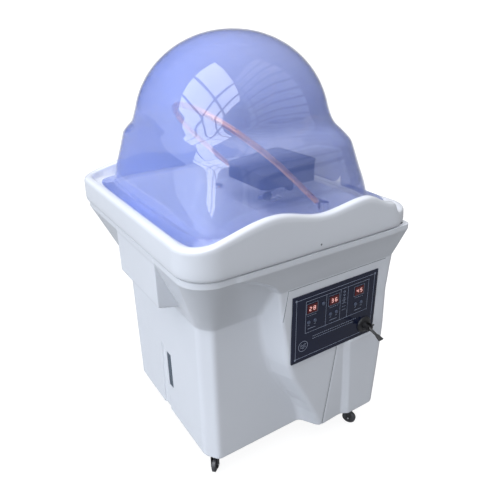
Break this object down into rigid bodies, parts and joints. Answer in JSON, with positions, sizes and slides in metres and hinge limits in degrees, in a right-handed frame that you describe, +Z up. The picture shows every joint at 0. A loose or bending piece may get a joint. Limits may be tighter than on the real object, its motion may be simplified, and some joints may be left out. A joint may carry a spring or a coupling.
{
  "type": "portable head spa basin",
  "caption": "Wheeled shampoo and head-spa basin with a lift-off tinted steam hood, tilting copper water arch, head cushion and front control panel.",
  "frame": {"origin": "floor level, under the middle of the object's overall width and depth", "axes": "+Z up, -Y towards the front with the control panel, +X towards the end where the client lies"},
  "size_m": [0.636, 0.753, 1.1044],
  "materials": {
    "shell_white": "gloss",
    "hood_blue": "clear blue-violet tint",
    "copper": "polished copper plate",
    "chrome": "polished",
    "vinyl_navy": "soft vinyl skin",
    "black_plastic": "moulded black",
    "panel_navy": "gloss",
    "display_red": "gloss red window",
    "button_silver": "silver paint",
    "window_smoke": "smoked",
    "galvanised": "zinc plated",
    "wheel_grey": "moulded grey",
    "hose_grey": "matt",
    "tank_natural": "natural",
    "board_green": "solder mask"
  },
  "bodies": {
    "cart": {"arch_bracket_front": "chrome", "arch_bracket_rear": "chrome", "basin": "shell_white", "cabinet_shell": "shell_white", "chassis_plate": "galvanised", "circulation_pump": "black_plastic", "control_board": "board_green", "control_panel": "panel_navy", "display_left": "display_red", "display_middle": "display_red", "display_right": "display_red", "drain_fitting": "chrome", "drain_hose": "hose_grey", "drain_outlet": "black_plastic", "headrest_socket": "chrome", "inline_heater": "galvanised", "level_window": "window_smoke", "mist_duct": "hose_grey", "mist_generator": "shell_white", "mist_nozzle": "chrome", "power_inlet": "black_plastic", "supply_hose": "hose_grey", "valve_body": "galvanised", "valve_escutcheon": "black_plastic", "water_filter": "tank_natural", "water_tank": "tank_natural"},
    "steam_hood": {"hood": "hood_blue"},
    "spray_arch": {"spray_arch": "copper", "arch_swivel_front": "chrome", "arch_swivel_rear": "chrome"},
    "headrest_post": {"headrest_post": "chrome"},
    "headrest_pad": {"headrest_plate": "chrome", "head_cushion": "vinyl_navy"},
    "height_knob": {"height_knob": "black_plastic"},
    "tilt_knob": {"tilt_knob": "black_plastic"},
    "button_left_down": {"button_left_down": "button_silver"},
    "button_left_up": {"button_left_up": "button_silver"},
    "button_middle_down": {"button_middle_down": "button_silver"},
    "button_middle_up": {"button_middle_up": "button_silver"},
    "button_power": {"button_power": "button_silver"},
    "button_right_down": {"button_right_down": "button_silver"},
    "button_right_up": {"button_right_up": "button_silver"},
    "mixer_hub": {"mixer_hub": "black_plastic"},
    "mixer_lever": {"mixer_lever": "black_plastic"},
    "rocker_switch": {"rocker_switch": "display_red"},
    "drain_strainer": {"drain_strainer": "chrome"},
    "rear_door": {"rear_door": "shell_white"},
    "door_latch": {"door_latch": "black_plastic"},
    "caster_front_left": {"caster_fork_front_left": "black_plastic", "caster_axle_front_left": "galvanised"},
    "wheel_front_left": {"caster_wheel_front_left": "wheel_grey"},
    "caster_rear_left": {"caster_fork_rear_left": "black_plastic", "caster_axle_rear_left": "galvanised"},
    "wheel_rear_left": {"caster_wheel_rear_left": "wheel_grey"},
    "caster_front_right": {"caster_fork_front_right": "black_plastic", "caster_axle_front_right": "galvanised"},
    "wheel_front_right": {"caster_wheel_front_right": "wheel_grey"},
    "caster_rear_right": {"caster_fork_rear_right": "black_plastic", "caster_axle_rear_right": "galvanised"},
    "wheel_rear_right": {"caster_wheel_rear_right": "wheel_grey"}
  },
  "joints": [
    {"name": "hood_lift", "type": "slide", "parent": "cart", "child": "steam_hood", "axis": [0, 0, 1], "range_m": [0, 0.45]},
    {"name": "arch_swing", "type": "hinge", "parent": "cart", "child": "spray_arch", "pos_m": [0.132, 0.0145, 0.695], "axis": [0, 1, 0], "range_deg": [-35, 40]},
    {"name": "headrest_height", "type": "slide", "parent": "cart", "child": "headrest_post", "axis": [0, 0, 1], "range_m": [0, 0.04]},
    {"name": "headrest_tilt", "type": "hinge", "parent": "headrest_post", "child": "headrest_pad", "pos_m": [0.165, 0.0145, 0.695], "axis": [0, 1, 0], "range_deg": [-8, 20]},
    {"name": "height_knob_turn", "type": "hinge", "parent": "cart", "child": "height_knob", "pos_m": [0.111, 0.0022, 0.674], "axis": [-0.7507, -0.6606, 0], "continuous": true},
    {"name": "tilt_knob_turn", "type": "hinge", "parent": "headrest_post", "child": "tilt_knob", "pos_m": [0.165, 0.0145, 0.695], "axis": [0, 1, 0], "continuous": true},
    {"name": "button_left_down_press", "type": "slide", "parent": "cart", "child": "button_left_down", "axis": [0, 1, 0], "range_m": [0, 0.001], "stiffness_N_per_m": 400},
    {"name": "button_left_up_press", "type": "slide", "parent": "cart", "child": "button_left_up", "axis": [0, 1, 0], "range_m": [0, 0.001], "stiffness_N_per_m": 400},
    {"name": "button_middle_down_press", "type": "slide", "parent": "cart", "child": "button_middle_down", "axis": [0, 1, 0], "range_m": [0, 0.001], "stiffness_N_per_m": 400},
    {"name": "button_middle_up_press", "type": "slide", "parent": "cart", "child": "button_middle_up", "axis": [0, 1, 0], "range_m": [0, 0.001], "stiffness_N_per_m": 400},
    {"name": "button_power_press", "type": "slide", "parent": "cart", "child": "button_power", "axis": [0, 1, 0], "range_m": [0, 0.001], "stiffness_N_per_m": 400},
    {"name": "button_right_down_press", "type": "slide", "parent": "cart", "child": "button_right_down", "axis": [0, 1, 0], "range_m": [0, 0.001], "stiffness_N_per_m": 400},
    {"name": "button_right_up_press", "type": "slide", "parent": "cart", "child": "button_right_up", "axis": [0, 1, 0], "range_m": [0, 0.001], "stiffness_N_per_m": 400},
    {"name": "mixer_turn", "type": "hinge", "parent": "cart", "child": "mixer_hub", "pos_m": [0.204, -0.3298, 0.373], "axis": [0, 1, 0], "range_deg": [-45, 45]},
    {"name": "mixer_lift", "type": "hinge", "parent": "mixer_hub", "child": "mixer_lever", "pos_m": [0.204, -0.3298, 0.373], "axis": [-1, 0, 0], "range_deg": [0, 22]},
    {"name": "rocker_tip", "type": "hinge", "parent": "cart", "child": "rocker_switch", "pos_m": [0.215, 0.262, 0.143], "axis": [1, 0, 0], "range_deg": [0, 8]},
    {"name": "strainer_lift", "type": "slide", "parent": "cart", "child": "drain_strainer", "axis": [0, 0, 1], "range_m": [0, 0.05]},
    {"name": "door_hinge", "type": "hinge", "parent": "cart", "child": "rear_door", "pos_m": [-0.12, 0.2713, 0.27], "axis": [0, 0, 1], "range_deg": [0, 110]},
    {"name": "latch_turn", "type": "hinge", "parent": "rear_door", "child": "door_latch", "pos_m": [0.118, 0.2673, 0.27], "axis": [0, 1, 0], "range_deg": [0, 90]},
    {"name": "caster_front_left_swivel", "type": "hinge", "parent": "cart", "child": "caster_front_left", "pos_m": [-0.205, -0.1995, 0.05], "axis": [0, 0, 1], "continuous": true},
    {"name": "wheel_front_left_roll", "type": "hinge", "parent": "caster_front_left", "child": "wheel_front_left", "pos_m": [-0.2149, -0.2094, 0.02], "axis": [0.7071, -0.7071, 0], "continuous": true},
    {"name": "caster_rear_left_swivel", "type": "hinge", "parent": "cart", "child": "caster_rear_left", "pos_m": [-0.205, 0.2285, 0.05], "axis": [0, 0, 1], "continuous": true},
    {"name": "wheel_rear_left_roll", "type": "hinge", "parent": "caster_rear_left", "child": "wheel_rear_left", "pos_m": [-0.19353, 0.23653, 0.02], "axis": [-0.5736, 0.8192, 0], "continuous": true},
    {"name": "caster_front_right_swivel", "type": "hinge", "parent": "cart", "child": "caster_front_right", "pos_m": [0.207, -0.2675, 0.05], "axis": [0, 0, 1], "continuous": true},
    {"name": "wheel_front_right_roll", "type": "hinge", "parent": "caster_front_right", "child": "wheel_front_right", "pos_m": [0.214, -0.27962, 0.02], "axis": [0.866, 0.5, 0], "continuous": true},
    {"name": "caster_rear_right_swivel", "type": "hinge", "parent": "cart", "child": "caster_rear_right", "pos_m": [0.215, 0.2285, 0.05], "axis": [0, 0, 1], "continuous": true},
    {"name": "wheel_rear_right_roll", "type": "hinge", "parent": "caster_rear_right", "child": "wheel_rear_right", "pos_m": [0.22816, 0.23329, 0.02], "axis": [-0.342, 0.9397, 0], "continuous": true}
  ]
}
